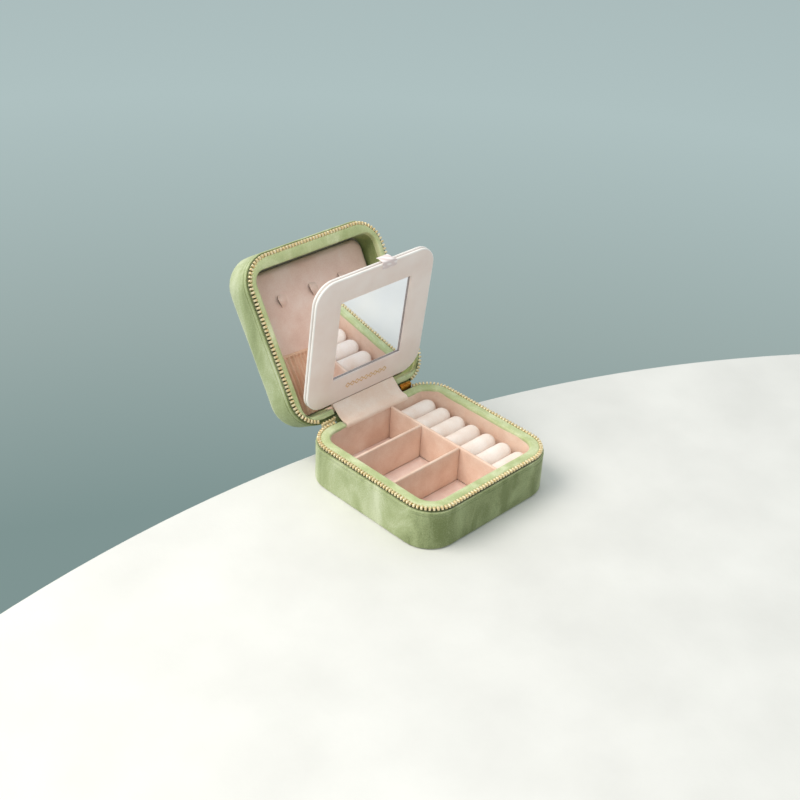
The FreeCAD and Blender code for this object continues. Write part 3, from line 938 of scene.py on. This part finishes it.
class JEWELCASE_OT_mirror_page(bpy.types.Operator):
    """Covers, beaded edges, glass, ornament and tab of the mirror page"""

    bl_idname = "jewelcase.mirror_page"
    bl_label = "Mirror Page"

    def execute(self, context):
        for side, node, low, high in (("front", "mirror_front_cover", PAGE_LOW, PAGE_HIGH),
                                      ("back", "mirror_back_cover", BACK_LOW, BACK_HIGH)):
            leaf = page_plate(f"page_{side}_leather", low, high)
            if side == "front":
                lap = Vector((GLASS_LAP, GLASS_LAP, 0.005))
                low_cut = GLASS_LOW + lap * Vector((1, 1, -1))
                high_cut = GLASS_HIGH - lap * Vector((1, 1, -1))
                cut(leaf, block("window", low_cut, high_cut))
                edit(leaf)
                pick(leaf, "edges", lambda e: all(self.at_window(v.co, low_cut, high_cut)
                                                  and v.co.z < low.z + 0.01 * MM for v in e.verts))
                bpy.ops.mesh.bevel(offset=0.9 * MM, segments=4, affect="EDGES")
                leave()
            soften(leaf, 0.25, 3, 60)
            dress(leaf, "leatherette", "mirror_page", [node])
            if side == "front":
                self.window_edge(leaf, low_cut, high_cut)
            smooth(opened(leaf, PAGE_OPEN))
            edge = opened(page_edge(f"page_{side}_edge", low, high), PAGE_OPEN)
            dress(smooth(edge), "edge", "mirror_page")
        paint("mirror_core", "groove")
        paint("mirror_glass", "mirror")
        self.tab()
        self.ornament()
        return {"FINISHED"}

    def window_edge(self, leaf, low, high):
        """Show the bare cut board on the four inner sides of the mirror's window."""
        leaf.data.materials.append(finishes()["cut_edge"])
        for face in leaf.data.polygons:
            if self.at_window(face.center, low, high) and abs(face.normal.z) < 0.1:
                face.material_index = 1

    def at_window(self, place, low, high, near=0.05 * MM):
        """Whether a place, modelled closed, is on the window's sides."""
        return low.x - near < place.x < high.x + near and low.y - near < place.y < high.y + near

    def ornament(self):
        """A stamped row of outlined lozenges under the mirror."""
        near, far = closed_box("mirror_ornament", PAGE_OPEN)
        middle = (near + far) / 2
        deselect()
        bpy.ops.mesh.primitive_circle_add(vertices=4, radius=1.7 * MM, fill_type="NGON",
                                          location=(0, middle.y, PAGE_LOW.z))
        first = bpy.context.object
        bpy.ops.object.transform_apply(location=True)
        edit(first)
        bpy.ops.mesh.select_all(action="SELECT")
        bpy.ops.mesh.inset(thickness=0.42 * MM)
        bpy.ops.mesh.delete(type="FACE")
        leave()
        copies = []
        for step in range(-4, 5):
            gem = first.copy()
            gem.data = first.data.copy()
            gem.data.transform(Matrix.Translation((middle.x + 3.35 * MM * step, 0, 0)))
            bpy.context.scene.collection.objects.link(gem)
            copies.append(gem)
        bpy.data.objects.remove(first)
        row = joined("page_foil_lozenges", copies)
        finish_with(row, "SOLIDIFY", thickness=0.12 * MM, offset=0.0)
        dress(opened(row, PAGE_OPEN), "foil", "mirror_page", ["mirror_ornament"])

    def tab(self):
        """The ribbon tab, folded over the page's far edge."""
        near, far = PAGE_LOW.z - PARTING, BACK_HIGH.z - PARTING
        top = HINGE.y - PAGE_LOW.y
        fold = [(top - 3.4 * MM, near - 0.25 * MM), (top - 1.5 * MM, near - 0.3 * MM),
                (top + 0.4 * MM, near - 0.2 * MM), (top + 1.0 * MM, near + 0.6 * MM),
                (top + 1.3 * MM, near + 2.4 * MM), (top + 1.2 * MM, far + 1.2 * MM),
                (top + 0.4 * MM, far + 2.2 * MM)]
        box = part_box("mirror_tab")
        points = [(box[0].x, HINGE.y - t, PARTING + n) for t, n in fold]
        ribbon = line_mesh("page_tab_ribbon", points, False)
        edit(ribbon)
        bpy.ops.mesh.select_all(action="SELECT")
        width = box[1].x - box[0].x
        for _ in range(4):
            bpy.ops.mesh.extrude_edges_move(TRANSFORM_OT_translate={"value": (width / 4, 0, 0)})
        leave()
        for vertex in ribbon.data.vertices:
            if vertex.co.z < PAGE_LOW.z:
                vertex.co.x += 0.3 * (vertex.co.x - box[0].x)
        finish_with(ribbon, "SOLIDIFY", thickness=0.45 * MM, offset=0.0)
        finish_with(ribbon, "SUBSURF", levels=2, render_levels=2)
        dress(smooth(opened(ribbon, PAGE_OPEN), 60), "ribbon", "mirror_page", ["mirror_tab"])


# ---------------------------------------------------------------- lid inside

class JEWELCASE_OT_lid_inside(bpy.types.Operator):
    """Padded back panel and necklace hooks"""

    bl_idname = "jewelcase.lid_inside"
    bl_label = "Lid Inside"

    def execute(self, context):
        pad = lid_hole("lid_back_padding", -0.3 * MM, 13.2, 15.2)
        soften(pad, 0.6, 3, 60)
        stuffed(pad, 1.5, 1.1, 0.9)
        pad = smooth(opened(pad, LID_OPEN), 60)
        dress(pad, "padding", "lid", ["lid_back_pad"])
        for number in (1, 2, 3):
            hook = self.hook(f"necklace_hook_suede_{number}",
                             *closed_box(f"necklace_hook_{number}", LID_OPEN))
            smooth(opened(hook, LID_OPEN), 70)
            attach(hook, "lid")
            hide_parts(f"necklace_hook_{number}")
        return {"FINISHED"}

    def hook(self, name, low, high):
        """A padded scoop: its left side stands off the panel, and its other sides run down into it."""
        deselect()
        bpy.ops.mesh.primitive_grid_add(x_subdivisions=20, y_subdivisions=24, size=1)
        scoop = bpy.context.object
        scoop.name = name
        panel = high.z
        for vertex in scoop.data.vertices:
            across, up = vertex.co.x + 0.5, 0.5 - vertex.co.y
            swell = max(math.sin(math.pi * up ** 1.5), 0) ** 0.8
            rise = settings().hook_rise * swell * max(math.cos(math.pi / 2 * across), 0) ** 0.7 - 0.5 * MM
            left = low.x + 1.5 * MM * abs(2 * up - 1) ** 2 + 0.8 * MM * math.sin(2 * math.pi * up)
            vertex.co = (left + (high.x - left) * across, low.y + (high.y - low.y) * (1 - up), panel - rise)
        # The scoop's inner face gets the dark umber suede: painted shade for the slit under its raised left
        # side.
        for material in ("painted_slit_shade", "padding"):
            scoop.data.materials.append(finishes()[material])
        finish_with(scoop, "SOLIDIFY", thickness=0.7 * MM, offset=0.0, material_offset=1)
        return finish_with(scoop, "SUBSURF", levels=1, render_levels=1)


class JEWELCASE_OT_pocket(bpy.types.Operator):
    """Gathered pocket and its elastic"""

    bl_idname = "jewelcase.pocket"
    bl_label = "Pocket"

    def execute(self, context):
        half, low, top = 41.2 * MM, 6.2 * MM, 40.0 * MM
        deselect()
        bpy.ops.mesh.primitive_grid_add(x_subdivisions=400, y_subdivisions=16, size=1)
        sheet = bpy.context.object
        sheet.name = "pocket_gathers"
        pitch = settings().pleat_pitch
        for vertex in sheet.data.vertices:
            across, up = vertex.co.x + 0.5, vertex.co.y + 0.5
            x = -half + 2 * half * across
            drift = noise.noise(Vector((across * 9, up * 1.2, 0))) * 1.6
            phase = 2 * math.pi * (x / pitch) + drift
            sag = 2.0 * MM * up * math.sin(math.pi * across)
            depth = 0.95 * MM * (0.85 + 0.15 * math.cos(math.pi * (2 * up - 1)))
            belly = 0.5 * MM * math.sin(math.pi * up)
            wander = 0.9 + 0.4 * noise.noise(Vector((across * 30, 3, 0)))
            n = 11.3 * MM - belly + depth * math.sin(phase) * wander
            vertex.co = (x, HINGE.y - (low + (top - low) * up - sag), PARTING + n)
        finish_with(sheet, "SOLIDIFY", thickness=0.35 * MM, offset=0.0)
        smooth(opened(sheet, LID_OPEN), 80)
        dress(sheet, "pocket", "lid", ["pocket"])

        section = [(11.6 * MM + 0.85 * MM * math.cos(a), 1.1 * MM * math.sin(a) + top)
                   for a in (math.pi * i / 4 for i in range(8))]
        points = [(-half, HINGE.y - t, PARTING + n) for n, t in section]
        elastic = line_mesh("pocket_elastic_hem", points, True)
        edit(elastic)
        bpy.ops.mesh.select_all(action="SELECT")
        count = 96
        for _ in range(count):
            bpy.ops.mesh.extrude_edges_move(TRANSFORM_OT_translate={"value": (2 * half / count, 0, 0)})
        leave()
        for vertex in elastic.data.vertices:
            across = (vertex.co.x + half) / (2 * half)
            vertex.co.y += 2.0 * MM * math.sin(math.pi * across)
            vertex.co.z += 0.15 * MM * math.sin(2 * math.pi * vertex.co.x / pitch * 0.97)
        dress(smooth(opened(elastic, LID_OPEN), 80), "pocket", "lid", ["pocket_elastic"])
        return {"FINISHED"}


# ---------------------------------------------------------------- hinge strips

def strip(name, path, x_range, thick, columns=12):
    """A cloth strip along a path of (y, z) points in millimetres, thickened and rounded."""
    piece = line_mesh(name, [(x_range[0], y * MM, z * MM) for y, z in path], False)
    edit(piece)
    bpy.ops.mesh.select_all(action="SELECT")
    for _ in range(columns):
        way = ((x_range[1] - x_range[0]) / columns, 0, 0)
        bpy.ops.mesh.extrude_edges_move(TRANSFORM_OT_translate={"value": way})
    bpy.ops.mesh.normals_make_consistent(inside=False)
    leave()
    finish_with(piece, "SUBSURF", levels=2, render_levels=2, boundary_smooth="PRESERVE_CORNERS")
    finish_with(piece, "SOLIDIFY", thickness=thick * MM, offset=0.0)
    return soften(piece, 0.35 * thick, 2, 60)


class JEWELCASE_OT_hinge_strips(bpy.types.Operator):
    """Lining strips over the hinge and the velvet spine outside it"""

    bl_idname = "jewelcase.hinge_strips"
    bl_label = "Hinge Strips"

    def execute(self, context):
        # name, finish, slot, bodies, replaced nodes, x range, thickness, path, where the bend starts and
        # ends, flat width and length, and what it rests on
        strips = (
            ("hinge_lining_front", "strap", "blush_lining", ("base", "mirror_page"),
             ("base_hinge_lining", "mirror_flap"), STRIP, 0.6,
             ((39.7, 22.9), (39.75, 24.4), (40.5, 25.3), (42.6, 25.4), (44.6, 25.6), (46.5, 26.9),
              (48.4, 28.55), (50.3, 30.2), (52.1, 31.8)),
             ((45.8, 26.3), (48.4, 28.5)), (0.0448, 0.0168),
             "base_rim_velvet"),
            ("hinge_lining_lid", "lining", "blush_lining", ("mirror_page", "lid"),
             ("lid_hinge_lining",), STRIP, 0.5,
             ((53.6, 31.6), (51.4, 29.2), (50.6, 27.8), (51.9, 26.9), (53.8, 26.9), (55.5, 27.1),
              (58.2, 25.5)),
             ((50.9, 28.6), (52.6, 26.8)), (0.0448, 0.0130), "lid_lining"),
            ("hinge_spine_base", "sage", "sage_velvet", ("base", "mirror_page"),
             ("base_spine",), SPINE, 0.7,
             ((46.42, 14.5), (46.42, 18.5), (46.42, 22.3), (46.8, 23.3), (47.4, 24.3), (48.03, 25.08)),
             ((47.0, 23.5), (48.03, 25.08)), (0.0466, 0.0116), "base_velvet_cover"),
            ("hinge_spine_lid", "sage", "sage_velvet", ("mirror_page", "lid"),
             ("lid_spine",), SPINE, 0.7,
             ((48.03, 25.08), (48.7, 25.15), (49.5, 25.25), (50.2, 25.2), (50.95, 24.86), (54.7, 22.6),
              (57.6, 20.85)), ((48.03, 25.08), (49.8, 25.25)), (0.0466, 0.0114),
             "lid_velvet_cover"),
        )
        for name, finish, slot_name, bodies, nodes, x_range, thick, path, bend, flat, under in strips:
            cloth = strip(name, path, x_range, thick)
            dress(smooth(cloth, 60), finish, None, nodes)
            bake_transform(cloth)
        return {"FINISHED"}


# ---------------------------------------------------------------- hidden parts and studio

class JEWELCASE_OT_inner_parts(bpy.types.Operator):
    """Boards and foam that the covers hide"""

    bl_idname = "jewelcase.inner_parts"
    bl_label = "Inner Parts"

    def execute(self, context):
        paint("lid_back_board", "board")
        paint("lid_shell", "sage")
        for node in ("base_wall_foam", "lid_wall_foam", "lid_padding"):
            paint(node, "foam")
        return {"FINISHED"}


class JEWELCASE_OT_stage(bpy.types.Operator):
    """Round pale table, soft room light and the camera"""

    bl_idname = "jewelcase.stage"
    bl_label = "Studio"

    def execute(self, context):
        self.table()
        self.room()
        self.camera()
        return {"FINISHED"}

    def table(self):
        deselect()
        bpy.ops.mesh.primitive_cylinder_add(vertices=256, radius=0.7, depth=0.03,
                                            location=(-0.112, -0.634, -0.015))
        table = bpy.context.object
        table.name = "studio_table"
        bpy.ops.object.transform_apply(location=True)
        soften(table, 6.0, 6)
        smooth(table)
        table.data.materials.append(plaster("Painted Plaster Tabletop", "D9D9D6", "E4E4E1"))

    def room(self):
        world = bpy.data.worlds.new("room")
        bpy.context.scene.world = world
        world.use_nodes = True
        tree = world.node_tree
        way = add(tree, "ShaderNodeTexCoord").outputs["Generated"]
        height = add(tree, "ShaderNodeSeparateXYZ", {"Vector": way}).outputs["Z"]
        share = add(tree, "ShaderNodeMapRange",
                    {"Value": height, "From Min": -1.0, "From Max": 1.0}).outputs[0]
        tone = ramp(tree, share, [(0.2, "7F9492"), (0.26, "9AABA9"), (0.335, "AFC1C1"), (0.5, "9FAEAF"),
                                  (0.75, "DBE1E2"), (1.0, "F0F4F4")])
        # The side of the room towards -Y is darker, so the walls that face it fall into shade.
        side = add(tree, "ShaderNodeSeparateXYZ", {"Vector": way}).outputs["Y"]
        shade = add(tree, "ShaderNodeMapRange", {"Value": side, "From Min": -0.1, "From Max": -0.8,
                                                 "To Min": 1.0, "To Max": 0.8}).outputs[0]
        tone = add(tree, "ShaderNodeVectorMath", {0: tone, 1: shade}, operation="MULTIPLY").outputs[0]
        tree.links.new(tone, tree.nodes["Background"].inputs["Color"])
        tree.nodes["Background"].inputs["Strength"].default_value = 1.0
        key = settings().key_power
        lights = (("key", (-0.72, 0.35, 1.0), 0.8, key, "FFF8EE"),
                  ("fill", (-1.2, -0.35, 0.8), 0.9, key * 0.07, "F8F8FF"))
        for name, place, size, power, tint in lights:
            data = bpy.data.lights.new(name, "AREA")
            data.size = size
            data.energy = power
            data.color = linear(tint)[:3]
            lamp = bpy.data.objects.new(name, data)
            lamp.location = place
            lamp.rotation_euler = (Vector(place) - Vector((0, 0, 0.04))).to_track_quat("Z", "Y").to_euler()
            bpy.context.scene.collection.objects.link(lamp)

    def camera(self):
        around, above, tilt = math.radians(-47.28), math.radians(34.82), math.radians(3.81)
        distance, target = 0.68492, Vector((0, 0, 0.012))
        back = Vector((math.sin(around) * math.cos(above), -math.cos(around) * math.cos(above),
                       math.sin(above)))
        right = (-back).cross(Vector((0, 0, 1))).normalized()
        up = right.cross(-back)
        across = math.cos(tilt) * right + math.sin(tilt) * up
        upright = -math.sin(tilt) * right + math.cos(tilt) * up
        data = bpy.data.cameras.new("camera")
        data.lens = settings().lens
        data.shift_x, data.shift_y = -0.0362, 0.0767
        data.clip_start = 0.01
        camera = bpy.data.objects.new("camera", data)
        turn = Matrix((across, upright, back)).transposed().to_4x4()
        camera.matrix_world = Matrix.Translation(target + back * distance) @ turn
        bpy.context.scene.collection.objects.link(camera)
        bpy.context.scene.camera = camera
        bpy.context.scene.view_settings.view_transform = "Standard"


class JEWELCASE_PT_panel(bpy.types.Panel):
    """Buttons and sizes of the jewelry case"""

    bl_idname = "JEWELCASE_PT_panel"
    bl_label = "Jewelry Case"
    bl_space_type = "VIEW_3D"
    bl_region_type = "UI"
    bl_category = "Jewelry Case"

    def draw(self, context):
        for name in CaseSettings.__annotations__:
            self.layout.prop(context.scene.jewelry_case, name)
        for operator in OPERATORS:
            self.layout.operator(operator.bl_idname)


OPERATORS = (JEWELCASE_OT_stage, JEWELCASE_OT_covers, JEWELCASE_OT_rim_bands, JEWELCASE_OT_zip,
             JEWELCASE_OT_tray, JEWELCASE_OT_ring_rolls, JEWELCASE_OT_mirror_page,
             JEWELCASE_OT_lid_inside, JEWELCASE_OT_pocket, JEWELCASE_OT_hinge_strips,
             JEWELCASE_OT_inner_parts)


def register():
    """Register the settings, the operators and the panel."""
    for kind in (CaseSettings, *OPERATORS, JEWELCASE_PT_panel):
        bpy.utils.register_class(kind)
    bpy.types.Scene.jewelry_case = bpy.props.PointerProperty(type=CaseSettings)


def unregister():
    """Take everything out again."""
    del bpy.types.Scene.jewelry_case
    for kind in reversed((CaseSettings, *OPERATORS, JEWELCASE_PT_panel)):
        bpy.utils.unregister_class(kind)


def main():
    """Build the case and its studio."""
    register()
    for operator in OPERATORS:
        group, name = operator.bl_idname.split(".")
        getattr(getattr(bpy.ops, group), name)()


if __name__ == "__main__":
    main()
